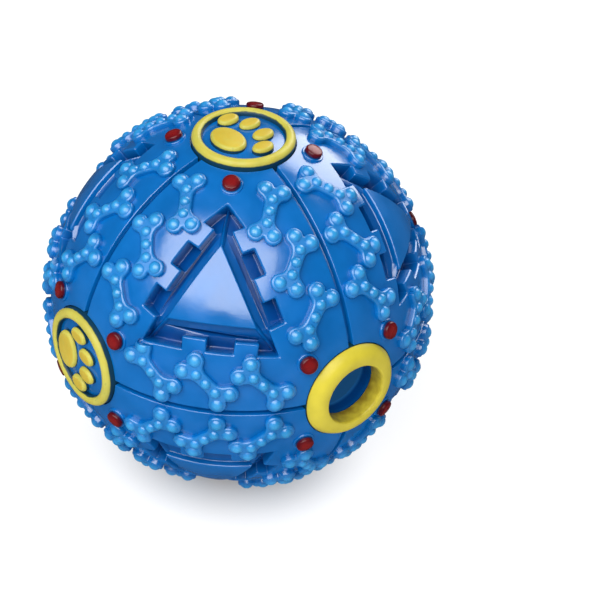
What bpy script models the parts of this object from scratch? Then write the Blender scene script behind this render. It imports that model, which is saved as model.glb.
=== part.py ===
"""Squeaky treat ball for a pet.

A hollow ball of soft glossy vinyl in two halves, with raised bones, sunken triangles and
inlaid badges on its surface, a feed mouth, and a rolling squeaker tube inside.
Units are metres and degrees, +Z is up, and the origin is the centre of the ball.
"""
import math

import bmesh
import bpy
from mathutils import Matrix, Vector

# Ball shell
BALL_RADIUS = 0.0565
WALL = 0.005
CLEARANCE = 0.0003
CUTTER_REACH = 0.006

# Lap joint where the two halves meet
LAP_LENGTH = 0.003
LAP_THICKNESS = 0.0018

# Grooves round the three great circles
GROOVE_WIDTH = 0.002
GROOVE_DEPTH = 0.0011

# Raised dog bones, three beside each groove of an octant
BONES_PER_EDGE = 3
BONE_STEP = 16.4
BONE_OFFSET = 10.2
BONE_TURN = 42.0
BONE_HEIGHT = 0.002
BONE_ROOT = 0.0015
BONE_LENGTH = 0.0142
BONE_LOBE_RADIUS = 0.0026
BONE_LOBE_SPREAD = 0.0025
BONE_SHAFT_WIDTH = 0.0046

# Sunken triangle with a toothed rim, in degrees on the plane that touches the octant's middle
MOAT_DEPTH = 0.0045
MOAT_FLOOR_WALL = 0.003
PLATEAU_INRADIUS = 7.9
TOOTH_INRADIUS = 12.4
NOTCH_INRADIUS = 16.4
CORNER_INRADIUS = 10.8
MOAT_APEX = 29.8
SIDE_TOOTH_START = -16.2
SIDE_TOOTH_WIDTH = 7.7
SIDE_NOTCH_WIDTH = 8.1
BASE_TOOTH_START = -8.4
BASE_TOOTH_WIDTH = 7.5
BASE_NOTCH_WIDTH = 8.3
POCKET_MARGIN = 3.0

# Round studs beside the badges
PIP_ANGLE = 20.8
PIP_RADIUS = 0.0026
PIP_RISE = 0.0022
PIP_CROWN = 0.0005
PIP_SEAT_DEPTH = 0.0022

# Paw badges at five of the six poles
BADGE_RADIUS = 0.0151
BADGE_RING_WIDTH = 0.0031
BADGE_RING_RISE = 0.0008
BADGE_EDGE_ROUND = 0.0009
BADGE_PLATE = 0.001
SEAT_DEPTH = 0.0041
SEAT_WALL = 0.0026
SEAT_MARGIN = 0.0025
PAD_RISE = 0.0015
MAIN_PAD_PLACE = -0.0054
MAIN_PAD_LENGTH = 0.0092
MAIN_PAD_WIDTH = 0.0126
INNER_TOE_PLACE = 0.0045
INNER_TOE_SPREAD = 0.0033
OUTER_TOE_PLACE = 0.0006
OUTER_TOE_SPREAD = 0.0086
TOE_LENGTH = 0.0068
TOE_WIDTH = 0.0048

# Feed mouth, a collar round the hole that treats fall through
MOUTH_RADIUS = 0.0151
MOUTH_BORE_RADIUS = 0.0095
MOUTH_RIM_ROUND = 0.0005
MOUTH_EDGE_DROP = 0.0019

# Squeaker tube
CAP_TO_WALL = 0.0037
TUBE_RADIUS = 0.0095
TUBE_WALL = 0.0012
TUBE_LENGTH = 0.056
CAP_FLANGE = 0.0018
CAP_LIP = 0.0016
CAP_PLUG = 0.003
AIR_HOLE_RADIUS = 0.002
CLIP_WALL = 0.0025
CLIP_HEIGHT = 0.006
CLIP_GRIP = 0.002
CLIP_POST_WIDTH = 0.008

# Sliding carriage in the tube, with its weight and reed
CARRIAGE_LENGTH = 0.022
CARRIAGE_GAP = 0.0004
WEIGHT_SETBACK = 0.0004
WEIGHT_LENGTH = 0.006
WEIGHT_WALL = 0.002
AIR_CHANNEL_WALL = 0.0006
AIR_CHANNEL_DEPTH = 0.0155
REED_FLAT_DEPTH = 0.0043
REED_WIDTH = 0.0038
REED_LENGTH = 0.0105
REED_TAIL = 0.0022
REED_THICKNESS = 0.0005
REED_SIDE_GAP = 0.0004
REED_ROOT_DROP = 0.003
CLAMP_HEIGHT = 0.0022
CLAMP_THICKNESS = 0.0012
CLAMP_FOOT_WIDTH = 0.0022

# Facets round each kind of round shape
BALL_STEPS = 32
CAVITY_STEPS = 24
RING_STEPS = 24
PAD_STEPS = 8
PIP_STEPS = 8
LOBE_STEPS = 3
CROWN_STEPS = 2
TUBE_STEPS = 16

# Heights above the centre of the ball, and sizes that follow from those above
CAVITY_RADIUS = BALL_RADIUS - WALL
SEAT_FLOOR = BALL_RADIUS - SEAT_DEPTH
BOSS_FACE = SEAT_FLOOR - SEAT_WALL
PAD_FACE = BALL_RADIUS + PAD_RISE
CUTTER_TOP = BALL_RADIUS + CUTTER_REACH
BADGE_BACK = SEAT_FLOOR + CLEARANCE
BADGE_PLATE_TOP = BADGE_BACK + BADGE_PLATE
BADGE_RING_INNER = BADGE_RADIUS - BADGE_RING_WIDTH
CAP_RADIUS = TUBE_RADIUS + CAP_LIP
CAP_END = TUBE_LENGTH / 2 + CLEARANCE + CAP_FLANGE
TUBE_PLACE = math.sqrt((CAVITY_RADIUS - CAP_TO_WALL) ** 2 - CAP_END ** 2) - CAP_RADIUS
CARRIAGE_RADIUS = TUBE_RADIUS - TUBE_WALL - CARRIAGE_GAP
WEIGHT_RADIUS = CARRIAGE_RADIUS - WEIGHT_SETBACK
NECK_RADIUS = WEIGHT_RADIUS - WEIGHT_WALL - CLEARANCE
REED_FACE = CARRIAGE_RADIUS - REED_FLAT_DEPTH
AIR_CHANNEL_RADIUS = REED_FACE - AIR_CHANNEL_WALL
MERGE_DISTANCE = 1e-6


def clear_scene():
    """Start from an empty scene."""
    for item in list(bpy.data.objects):
        bpy.data.objects.remove(item)


def finish(name, colour, roughness, metallic=0.0):
    """A plain surface finish for one kind of piece."""
    surface = bpy.data.materials.new(name)
    surface.use_nodes = True
    shader = surface.node_tree.nodes["Principled BSDF"]
    shader.inputs["Base Color"].default_value = (*colour, 1.0)
    shader.inputs["Roughness"].default_value = roughness
    shader.inputs["Metallic"].default_value = metallic
    return surface


def add_piece(name, shape, surface=None):
    """Turn a finished mesh shape into a named object in the scene."""
    bmesh.ops.remove_doubles(shape, verts=shape.verts, dist=MERGE_DISTANCE)
    bmesh.ops.recalc_face_normals(shape, faces=shape.faces)
    mesh = bpy.data.meshes.new(name)
    shape.to_mesh(mesh)
    shape.free()
    piece = bpy.data.objects.new(name, mesh)
    bpy.context.scene.collection.objects.link(piece)
    if surface:
        mesh.materials.append(surface)
    return piece


def apply_steps(piece):
    """Keep the result of a piece's modifiers as its mesh."""
    graph = bpy.context.evaluated_depsgraph_get()
    mesh = bpy.data.meshes.new_from_object(piece.evaluated_get(graph))
    piece.modifiers.clear()
    piece.data = mesh


def combine(piece, operation, tool):
    """Join a tool shape to a piece, or cut it out, and drop the tool."""
    step = piece.modifiers.new(operation.title(), "BOOLEAN")
    step.operation = operation
    step.solver = "EXACT"
    step.object = tool
    apply_steps(piece)
    bpy.data.objects.remove(tool)


def smooth(piece):
    """Shade the round faces of a piece smooth and keep its edges crisp."""
    piece.data.shade_smooth()
    piece.data.set_sharp_from_angle(angle=math.radians(30))


def turned(points, steps):
    """A shape turned about Z from (radius, height) points, closed or ending on the axis."""
    shape = bmesh.new()
    corners = [shape.verts.new((radius, 0.0, height)) for radius, height in points]
    lines = [shape.edges.new(pair) for pair in zip(corners, corners[1:])]
    if points[0][0] > 0.0:
        lines.append(shape.edges.new((corners[-1], corners[0])))
    bmesh.ops.spin(shape, geom=corners + lines, cent=(0, 0, 0), axis=(0, 0, 1),
                   angle=math.tau, steps=steps, use_merge=True)
    bmesh.ops.remove_doubles(shape, verts=shape.verts, dist=MERGE_DISTANCE)
    return shape


def rod(radius, low, high, steps):
    """A plain round rod along Z."""
    return turned([(0.0, high), (radius, high), (radius, low), (0.0, low)], steps)


def tube(inner, outer, low, high, steps):
    """A plain round tube along Z."""
    return turned([(inner, high), (outer, high), (outer, low), (inner, low)], steps)


def prism(outline, low, high, hole=()):
    """A flat outline, with or without a hole, raised from one height to another."""
    shape = bmesh.new()
    lines = []
    for loop in (outline, hole):
        corners = [shape.verts.new((x, y, low)) for x, y in loop]
        lines += [shape.edges.new((corners[i - 1], corners[i])) for i in range(len(corners))]
    filled = bmesh.ops.triangle_fill(shape, use_beauty=True, edges=lines)["geom"]
    floor = [face for face in filled if isinstance(face, bmesh.types.BMFace)]
    raised = bmesh.ops.extrude_face_region(shape, geom=floor)["geom"]
    top = [point for point in raised if isinstance(point, bmesh.types.BMVert)]
    bmesh.ops.translate(shape, verts=top, vec=(0, 0, high - low))
    return shape


def block(low, high):
    """A box between two opposite corners."""
    outline = [(low[0], low[1]), (high[0], low[1]), (high[0], high[1]), (low[0], high[1])]
    return prism(outline, low[2], high[2])


def wrap(shape, middle, right, up):
    """Lay a flat shape on the ball: x and y become angles about the middle, z the radius."""
    for point in shape.verts:
        x, y, radius = point.co
        point.co = (middle + right * x + up * y).normalized() * radius
    return shape


def turn_to(shape, direction, spin_mark=None):
    """Turn a shape made along +Z so that it stands along a direction of the ball."""
    z_axis = direction.normalized()
    if spin_mark is None:
        spin_mark = Vector((0.0, 1.0, 0.0)) if abs(z_axis.y) < 0.9 else Vector((1.0, 0.0, 0.0))
    x_axis = (spin_mark - z_axis * spin_mark.dot(z_axis)).normalized()
    y_axis = z_axis.cross(x_axis)
    turn = Matrix((x_axis, y_axis, z_axis)).transposed().to_4x4()
    bmesh.ops.transform(shape, matrix=turn, verts=shape.verts)
    return shape


def half_facet_turned(shape, steps):
    """Turn a round shape about Z by half a facet, so that its corners lie between another's."""
    half_step = Matrix.Rotation(math.pi / steps, 4, "Z")
    bmesh.ops.transform(shape, matrix=half_step, verts=shape.verts)
    return shape


def joined(shapes):
    """Several separate shapes as one."""
    whole = bmesh.new()
    for shape in shapes:
        part = bpy.data.meshes.new("part")
        shape.to_mesh(part)
        shape.free()
        whole.from_mesh(part)
        bpy.data.meshes.remove(part)
    return whole


def octant_frame(end):
    """Middle, right and up directions of the octant between the left, the top and an end pole."""
    middle = (LEFT + TOP + end).normalized()
    right = (end - LEFT).normalized()
    up = (TOP - middle * TOP.dot(middle)).normalized()
    return middle, right, up


def bone_outline():
    """Outline of one dog bone along x: two lobes at each end of a straight shaft."""
    half_width = BONE_SHAFT_WIDTH / 2
    shaft_angle = math.pi - math.asin((half_width - BONE_LOBE_SPREAD) / BONE_LOBE_RADIUS)
    cleft_angle = -math.acos(0.0) + math.acos(BONE_LOBE_SPREAD / BONE_LOBE_RADIUS)
    quarter = []
    for step in range(LOBE_STEPS + 1):
        angle = shaft_angle + (cleft_angle - shaft_angle) * step / LOBE_STEPS
        x = BONE_LENGTH / 2 + BONE_LOBE_RADIUS * math.cos(angle)
        y = BONE_LOBE_SPREAD + BONE_LOBE_RADIUS * math.sin(angle)
        quarter.append((x, y))
    half = quarter + [(x, -y) for x, y in reversed(quarter[:-1])]
    return half + [(-x, -y) for x, y in half]


def octant_bones(end):
    """The raised bones of one octant, splayed from the three grooves round it."""
    outline = [(x / BALL_RADIUS, y / BALL_RADIUS) for x, y in bone_outline()]
    offset = math.radians(BONE_OFFSET)
    turn = math.radians(BONE_TURN)
    bones = []
    for start, stop, inside in ((TOP, LEFT, end), (TOP, end, LEFT), (end, LEFT, TOP)):
        for number in range(BONES_PER_EDGE):
            along = math.radians(45.0 + (number - (BONES_PER_EDGE - 1) / 2) * BONE_STEP)
            on_groove = start * math.cos(along) + stop * math.sin(along)
            spot = on_groove * math.cos(offset) + inside * math.sin(offset)
            forward = stop * math.cos(along) - start * math.sin(along)
            inward = inside * math.cos(offset) - on_groove * math.sin(offset)
            axis = forward * math.cos(turn) + inward * math.sin(turn)
            across = inward * math.cos(turn) - forward * math.sin(turn)
            bone = prism(outline, BALL_RADIUS - BONE_ROOT, BALL_RADIUS + BONE_HEIGHT)
            bones.append(wrap(bone, spot, axis, across))
    return joined(bones)


def side_point(along, inradius, mirror):
    """A point beside the slanted side of the moat, measured along it from its middle."""
    slope = math.radians(30.0)
    x = inradius * math.cos(slope) + along * math.sin(slope)
    y = inradius * math.sin(slope) - along * math.cos(slope)
    return (mirror * x, y)


def moat_corner(inradius, depth):
    """Where a slanted side line meets the base line of the moat."""
    slope = math.radians(30.0)
    return ((inradius + depth * math.sin(slope)) / math.cos(slope), -depth)


def slanted_side(mirror):
    """Rim of the moat down one slanted side, from the apex to the base corner."""
    points = []
    along = SIDE_TOOTH_START
    for _ in range(2):
        points.append(side_point(along, NOTCH_INRADIUS, mirror))
        points.append(side_point(along, TOOTH_INRADIUS, mirror))
        along += SIDE_TOOTH_WIDTH
        points.append(side_point(along, TOOTH_INRADIUS, mirror))
        points.append(side_point(along, NOTCH_INRADIUS, mirror))
        along += SIDE_NOTCH_WIDTH
    points.append(side_point(along, NOTCH_INRADIUS, mirror))
    points.append(side_point(along, CORNER_INRADIUS, mirror))
    x, y = moat_corner(CORNER_INRADIUS, NOTCH_INRADIUS)
    points.append((mirror * x, y))
    return points


def base_side():
    """Rim of the moat along its base, from left to right."""
    points = []
    x = BASE_TOOTH_START
    for _ in range(2):
        points.append((x, -NOTCH_INRADIUS))
        points.append((x, -TOOTH_INRADIUS))
        x += BASE_TOOTH_WIDTH
        points.append((x, -TOOTH_INRADIUS))
        points.append((x, -NOTCH_INRADIUS))
        x += BASE_NOTCH_WIDTH
    return points


def in_radians(points):
    """The same points with degrees turned into shares of the ball's radius."""
    return [(math.radians(x), math.radians(y)) for x, y in points]


def moat(end):
    """The sunken moat of one octant, round its triangular plateau."""
    rim = [(0.0, MOAT_APEX)] + slanted_side(1) + base_side()[::-1] + slanted_side(-1)[::-1]
    plateau_x, plateau_y = moat_corner(PLATEAU_INRADIUS, PLATEAU_INRADIUS)
    plateau = [(0.0, 2 * PLATEAU_INRADIUS), (plateau_x, plateau_y), (-plateau_x, plateau_y)]
    shape = prism(in_radians(rim), BALL_RADIUS - MOAT_DEPTH, CUTTER_TOP, in_radians(plateau))
    return wrap(shape, *octant_frame(end))


def pocket(end):
    """The thick patch on the inside that keeps a wall under the moat."""
    reach = NOTCH_INRADIUS + POCKET_MARGIN
    low_end = SIDE_TOOTH_START + 2 * (SIDE_TOOTH_WIDTH + SIDE_NOTCH_WIDTH) + POCKET_MARGIN
    corner_x, _ = moat_corner(CORNER_INRADIUS, NOTCH_INRADIUS)
    half = [side_point(SIDE_TOOTH_START, reach, 1), side_point(low_end, reach, 1),
            (corner_x + POCKET_MARGIN, -reach)]
    rim = [(0.0, MOAT_APEX + POCKET_MARGIN)] + half + [(-x, y) for x, y in reversed(half)]
    face = BALL_RADIUS - MOAT_DEPTH - MOAT_FLOOR_WALL
    return wrap(prism(in_radians(rim), face, CUTTER_TOP), *octant_frame(end))


def pip_direction(pole, octant):
    """Where a pip sits: beside a pole, towards the middle of an octant."""
    aside = (octant - pole * octant.dot(pole)).normalized()
    angle = math.radians(PIP_ANGLE)
    return pole * math.cos(angle) + aside * math.sin(angle)


def pip_seats(end):
    """The three round pockets that hold the pips of one octant."""
    middle, _, _ = octant_frame(end)
    seats = []
    for pole in (LEFT, TOP, end):
        seat = rod(PIP_RADIUS + CLEARANCE, BALL_RADIUS - PIP_SEAT_DEPTH, CUTTER_TOP, PIP_STEPS)
        seats.append(turn_to(seat, pip_direction(pole, middle)))
    return joined(seats)


def groove(normal):
    """A V-shaped ring that cuts the groove round one great circle."""
    flare = GROOVE_WIDTH / 2 * (GROOVE_DEPTH + CUTTER_REACH) / GROOVE_DEPTH
    profile = [(BALL_RADIUS - GROOVE_DEPTH, 0.0), (CUTTER_TOP, flare), (CUTTER_TOP, -flare)]
    return turn_to(turned(profile, BALL_STEPS), normal)


def pole_seats(end, port_radius):
    """The round pockets at three poles, with a way through the wall at a feed port."""
    seats = []
    for pole in (LEFT, TOP, end):
        wide = BADGE_RADIUS + CLEARANCE
        profile = [(0.0, CUTTER_TOP), (wide, CUTTER_TOP), (wide, SEAT_FLOOR)]
        if pole == end and port_radius > 0.0:
            wide = MOUTH_RADIUS + CLEARANCE
            depth = BOSS_FACE - WALL
            profile = [(0.0, CUTTER_TOP), (wide, CUTTER_TOP), (wide, SEAT_FLOOR),
                       (port_radius, SEAT_FLOOR), (port_radius, depth), (0.0, depth)]
        else:
            profile.append((0.0, SEAT_FLOOR))
        seats.append(turn_to(turned(profile, RING_STEPS), pole))
    return joined(seats)


def cavity(end):
    """The hollow of the ball, less the thick patches behind the moat and the badge seats."""
    shape = bmesh.new()
    bmesh.ops.create_uvsphere(shape, u_segments=CAVITY_STEPS, v_segments=CAVITY_STEPS // 2,
                              radius=CAVITY_RADIUS)
    hollow = add_piece("cavity", shape)
    combine(hollow, "DIFFERENCE", add_piece("pocket", pocket(end)))
    bosses = []
    for pole in (LEFT, TOP, end):
        width = max(BADGE_RADIUS, MOUTH_RADIUS) + SEAT_MARGIN
        bosses.append(turn_to(rod(width, BOSS_FACE, CUTTER_TOP, RING_STEPS), pole))
    combine(hollow, "DIFFERENCE", add_piece("bosses", joined(bosses)))
    return hollow


def seam_cutter(end):
    """Everything beyond the lap joint, seen from the half at this end of the Y axis."""
    far = CUTTER_TOP + CUTTER_REACH
    lap_radius = CAVITY_RADIUS + LAP_THICKNESS
    if end == FRONT:
        lap_radius += CLEARANCE
        profile = [(0.0, far), (far, far), (far, -CLEARANCE / 2), (lap_radius, -CLEARANCE / 2),
                   (lap_radius, -LAP_LENGTH - CLEARANCE), (0.0, -LAP_LENGTH - CLEARANCE)]
    else:
        profile = [(0.0, -LAP_LENGTH), (lap_radius, -LAP_LENGTH), (lap_radius, CLEARANCE / 2),
                   (far, CLEARANCE / 2), (far, -far), (0.0, -far)]
    half_step = math.pi / BALL_STEPS
    first_corner = Vector((math.cos(half_step), 0.0, math.sin(half_step)))
    return turn_to(turned(profile, BALL_STEPS), REAR, first_corner)


def tube_clip():
    """The spring clip on the rear wall that grips the upper end of the squeaker tube."""
    inner = TUBE_RADIUS + CLEARANCE
    outer = inner + CLIP_WALL
    high = TUBE_LENGTH / 2 - CLEARANCE
    low = high - CLIP_HEIGHT
    clip = add_piece("clip", half_facet_turned(rod(outer, low, high, TUBE_STEPS), TUBE_STEPS))
    post_start = inner + CLIP_WALL / 2
    post = block((-CLIP_POST_WIDTH / 2, post_start, low), (CLIP_POST_WIDTH / 2, CUTTER_TOP, high))
    combine(clip, "UNION", add_piece("post", post))
    opening = TUBE_RADIUS - CLIP_GRIP
    way = block((-opening, -CUTTER_TOP, low - WALL), (opening, -CLIP_WALL, high + WALL))
    combine(clip, "DIFFERENCE", add_piece("way", way))
    hole = rod(inner, low - WALL, high + WALL, TUBE_STEPS)
    combine(clip, "DIFFERENCE", add_piece("hole", hole))
    clip.data.transform(Matrix.Translation((0.0, TUBE_PLACE, 0.0)))
    shape = bmesh.new()
    bmesh.ops.create_uvsphere(shape, u_segments=CAVITY_STEPS, v_segments=CAVITY_STEPS // 2,
                              radius=CAVITY_RADIUS + WALL / 2)
    combine(clip, "INTERSECT", add_piece("reach", half_facet_turned(shape, CAVITY_STEPS)))
    return clip


def half_shell(name, end, surface):
    """One half of the ball: an octant is carved, then mirrored to the left, right, top and bottom."""
    shape = bmesh.new()
    bmesh.ops.create_uvsphere(shape, u_segments=BALL_STEPS, v_segments=BALL_STEPS // 2,
                              radius=BALL_RADIUS)
    shell = add_piece(name, shape, surface)
    combine(shell, "UNION", add_piece("bones", octant_bones(end)))
    combine(shell, "DIFFERENCE", add_piece("seam", seam_cutter(end)))
    combine(shell, "DIFFERENCE", add_piece("moat", moat(end)))
    combine(shell, "DIFFERENCE", add_piece("pip_seats", pip_seats(end)))
    for normal in (LEFT, REAR, TOP):
        combine(shell, "DIFFERENCE", add_piece("groove", groove(normal)))
    combine(shell, "DIFFERENCE", cavity(end))
    if end == REAR:
        combine(shell, "UNION", tube_clip())
    port_radius = MOUTH_BORE_RADIUS if end == FRONT else 0.0
    combine(shell, "DIFFERENCE", add_piece("pole_seats", pole_seats(end, port_radius)))
    mirror = shell.modifiers.new("Four octants", "MIRROR")
    mirror.use_axis = (True, False, True)
    mirror.use_bisect_axis = (True, False, True)
    mirror.use_bisect_flip_axis = (True, False, False)
    mirror.bisect_threshold = MERGE_DISTANCE
    mirror.merge_threshold = MERGE_DISTANCE
    apply_steps(shell)
    smooth(shell)
    return shell


def ellipse(place, spread, length, width, margin=0.0):
    """Outline of an oval pad, with its length along x."""
    points = []
    for step in range(PAD_STEPS):
        angle = math.tau * step / PAD_STEPS
        x = place + (length / 2 + margin) * math.cos(angle)
        y = spread + (width / 2 + margin) * math.sin(angle)
        points.append((x, y))
    return points


def paw_pads(low, high, margin=0.0):
    """The pad and four toes of a paw print, raised between two heights."""
    pads = [prism(ellipse(MAIN_PAD_PLACE, 0.0, MAIN_PAD_LENGTH, MAIN_PAD_WIDTH, margin), low, high)]
    for side in (-1, 1):
        for place, spread in ((INNER_TOE_PLACE, INNER_TOE_SPREAD), (OUTER_TOE_PLACE, OUTER_TOE_SPREAD)):
            toe = ellipse(place, side * spread, TOE_LENGTH, TOE_WIDTH, margin)
            pads.append(prism(toe, low, high))
    return joined(pads)


def paw_badge(name, pole, paw_up, ring_surface, field_surface):
    """An inlaid badge: a plate with a raised ring and paw pads, and a domed field round the pads."""
    ring_top = BALL_RADIUS + BADGE_RING_RISE
    bevel = BADGE_EDGE_ROUND
    profile = [(0.0, BADGE_PLATE_TOP), (BADGE_RING_INNER, BADGE_PLATE_TOP),
               (BADGE_RING_INNER, ring_top - bevel), (BADGE_RING_INNER + bevel, ring_top),
               (BADGE_RADIUS - bevel, ring_top), (BADGE_RADIUS, ring_top - bevel),
               (BADGE_RADIUS, BADGE_BACK), (0.0, BADGE_BACK)]
    badge = add_piece("paw_badge_" + name, turned(profile, RING_STEPS), ring_surface)
    pads = paw_pads(BADGE_BACK + BADGE_PLATE / 2, PAD_FACE)
    combine(badge, "UNION", add_piece("pads", pads))

    edge = BADGE_RING_INNER - CLEARANCE
    low = BADGE_PLATE_TOP + CLEARANCE
    radii = [edge * share / CROWN_STEPS for share in range(CROWN_STEPS + 1)]
    crown = [(radius, math.sqrt(BALL_RADIUS ** 2 - radius ** 2)) for radius in radii]
    dome = turned(crown + [(edge, low), (0.0, low)], RING_STEPS)
    field = add_piece("badge_field_" + name, dome, field_surface)
    combine(field, "DIFFERENCE", add_piece("windows", paw_pads(BADGE_BACK, CUTTER_TOP, CLEARANCE)))

    for piece in (badge, field):
        shape = bmesh.new()
        shape.from_mesh(piece.data)
        turn_to(shape, pole, paw_up)
        shape.to_mesh(piece.data)
        shape.free()
        smooth(piece)


def feed_ring(surface):
    """The collar of the feed mouth: a cone that rises to the rim of the hole."""
    edge = BALL_RADIUS - MOUTH_EDGE_DROP
    bore = MOUTH_BORE_RADIUS
    rim = MOUTH_RIM_ROUND
    profile = [(bore, PAD_FACE - rim), (bore + rim, PAD_FACE), (bore + 2 * rim, PAD_FACE),
               (MOUTH_RADIUS, edge), (MOUTH_RADIUS, BADGE_BACK), (bore, BADGE_BACK)]
    smooth(add_piece("feed_ring", turn_to(turned(profile, RING_STEPS), FRONT), surface))


def pip(name, direction, surface):
    """A round stud with a low crown, pushed into its pocket in the wall."""
    top = BALL_RADIUS + PIP_RISE
    bottom = BALL_RADIUS - PIP_SEAT_DEPTH + CLEARANCE
    profile = [(0.0, top), (PIP_RADIUS - PIP_CROWN, top - PIP_CROWN / 3), (PIP_RADIUS, top - PIP_CROWN),
               (PIP_RADIUS, bottom), (0.0, bottom)]
    smooth(add_piece(name, turn_to(turned(profile, PIP_STEPS), direction), surface))


def all_pips(surface):
    """Four pips round each of the six poles."""
    poles = (("top", TOP), ("bottom", -TOP), ("left", LEFT), ("right", -LEFT),
             ("front", FRONT), ("rear", REAR))
    signs = [Vector((x, y, z)) for x in (-1, 1) for y in (-1, 1) for z in (-1, 1)]
    for name, pole in poles:
        octants = [sign for sign in signs if sign.dot(pole) > 0]
        for number, octant in enumerate(octants, 1):
            pip(f"pip_{name}_{number}", pip_direction(pole, octant.normalized()), surface)


def on_tube_axis(shape):
    """Move a shape made about Z to the axis of the squeaker tube."""
    bmesh.ops.translate(shape, verts=shape.verts, vec=(0.0, TUBE_PLACE, 0.0))
    return shape


def squeaker_tube(tube_surface, cap_surface):
    """The tube and the two plugged caps that let air in and out of it."""
    half = TUBE_LENGTH / 2
    bore = TUBE_RADIUS - TUBE_WALL
    body = tube(bore, TUBE_RADIUS, -half, half, TUBE_STEPS)
    smooth(add_piece("sounder_tube", on_tube_axis(body), tube_surface))
    plug = bore - CLEARANCE
    seat = half + CLEARANCE
    profile = [(AIR_HOLE_RADIUS, CAP_END), (CAP_RADIUS, CAP_END), (CAP_RADIUS, seat),
               (plug, seat), (plug, half - CAP_PLUG), (AIR_HOLE_RADIUS, half - CAP_PLUG)]
    for name, side in (("sounder_cap_top", 1), ("sounder_cap_bottom", -1)):
        shape = turned([(radius, side * height) for radius, height in profile], TUBE_STEPS)
        smooth(add_piece(name, on_tube_axis(shape), cap_surface))


def reed_parts(carriage_surface, weight_surface, reed_surface):
    """The sliding carriage with its weight, and the reed clamped over its air window."""
    low = -TUBE_LENGTH / 2 + CAP_PLUG + CLEARANCE
    top = low + CARRIAGE_LENGTH
    shoulder = low + WEIGHT_LENGTH + CLEARANCE
    root = top - REED_ROOT_DROP
    tip = root - REED_LENGTH

    profile = [(0.0, top), (CARRIAGE_RADIUS, top), (CARRIAGE_RADIUS, shoulder),
               (NECK_RADIUS, shoulder), (NECK_RADIUS, low), (0.0, low)]
    carriage = add_piece("reed_carriage", turned(profile, TUBE_STEPS), carriage_surface)
    flat_low = tip - 2 * REED_SIDE_GAP
    flat = block((-TUBE_RADIUS, -TUBE_RADIUS, flat_low), (TUBE_RADIUS, -REED_FACE, top + WALL))
    combine(carriage, "DIFFERENCE", add_piece("flat", flat))
    window_half = REED_WIDTH / 2 + REED_SIDE_GAP
    window = block((-window_half, -TUBE_RADIUS, tip - REED_SIDE_GAP),
                   (window_half, 0.0, root - REED_SIDE_GAP))
    combine(carriage, "DIFFERENCE", add_piece("window", window))
    channel = rod(AIR_CHANNEL_RADIUS, top - AIR_CHANNEL_DEPTH, top + WALL, TUBE_STEPS // 2)
    combine(carriage, "DIFFERENCE", add_piece("channel", channel))
    carriage.data.transform(Matrix.Translation((0.0, TUBE_PLACE, 0.0)))
    smooth(carriage)

    inner = WEIGHT_RADIUS - WEIGHT_WALL
    weight = tube(inner, WEIGHT_RADIUS, low, low + WEIGHT_LENGTH, TUBE_STEPS)
    smooth(add_piece("reed_weight", on_tube_axis(weight), weight_surface))

    reed_back = -REED_FACE - CLEARANCE
    reed_front = reed_back - REED_THICKNESS
    half_reed = REED_WIDTH / 2
    reed_middle = (reed_back + reed_front) / 2
    reed = block((-half_reed, reed_front - reed_middle, tip - root),
                 (half_reed, reed_back - reed_middle, REED_TAIL))
    reed_piece = add_piece("sounder_reed", reed, reed_surface)
    reed_piece.location = (0.0, TUBE_PLACE + reed_middle, root)

    bar_back = reed_front - CLEARANCE
    bar_front = bar_back - CLAMP_THICKNESS
    gap = half_reed + CLEARANCE
    foot = gap + CLAMP_FOOT_WIDTH
    staple = [(-foot, bar_front), (foot, bar_front), (foot, reed_back), (gap, reed_back),
              (gap, bar_back), (-gap, bar_back), (-gap, reed_back), (-foot, reed_back)]
    clamp = prism(staple, root, root + CLAMP_HEIGHT)
    add_piece("reed_clamp", on_tube_axis(clamp), carriage_surface)


LEFT = Vector((-1.0, 0.0, 0.0))
TOP = Vector((0.0, 0.0, 1.0))
FRONT = Vector((0.0, -1.0, 0.0))
REAR = Vector((0.0, 1.0, 0.0))

clear_scene()

blue_vinyl = finish("blue vinyl", (0.005, 0.155, 0.578), 0.25)
yellow_vinyl = finish("yellow vinyl", (0.76, 0.61, 0.045), 0.35)
red_vinyl = finish("red vinyl", (0.30, 0.008, 0.012), 0.3)
tube_plastic = finish("dark blue plastic", (0.01, 0.035, 0.11), 0.45)
white_plastic = finish("white plastic", (0.75, 0.75, 0.72), 0.4)
steel = finish("steel", (0.55, 0.55, 0.56), 0.3, 1.0)
reed_film = finish("reed film", (0.80, 0.78, 0.70), 0.5)

half_shell("shell_front", FRONT, blue_vinyl)
half_shell("shell_rear", REAR, blue_vinyl)
feed_ring(yellow_vinyl)
for place, pole, paw_up in (("top", TOP, -LEFT), ("bottom", -TOP, -LEFT), ("left", LEFT, FRONT),
                            ("right", -LEFT, FRONT), ("rear", REAR, TOP)):
    paw_badge(place, pole, paw_up, yellow_vinyl, blue_vinyl)
all_pips(red_vinyl)
squeaker_tube(tube_plastic, white_plastic)
reed_parts(white_plastic, steel, reed_film)
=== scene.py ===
"""A squeaky ball for a pet: the visible surface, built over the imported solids."""
import math

import bpy
from mathutils import Matrix, Vector
from mathutils.geometry import tessellate_polygon


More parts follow.
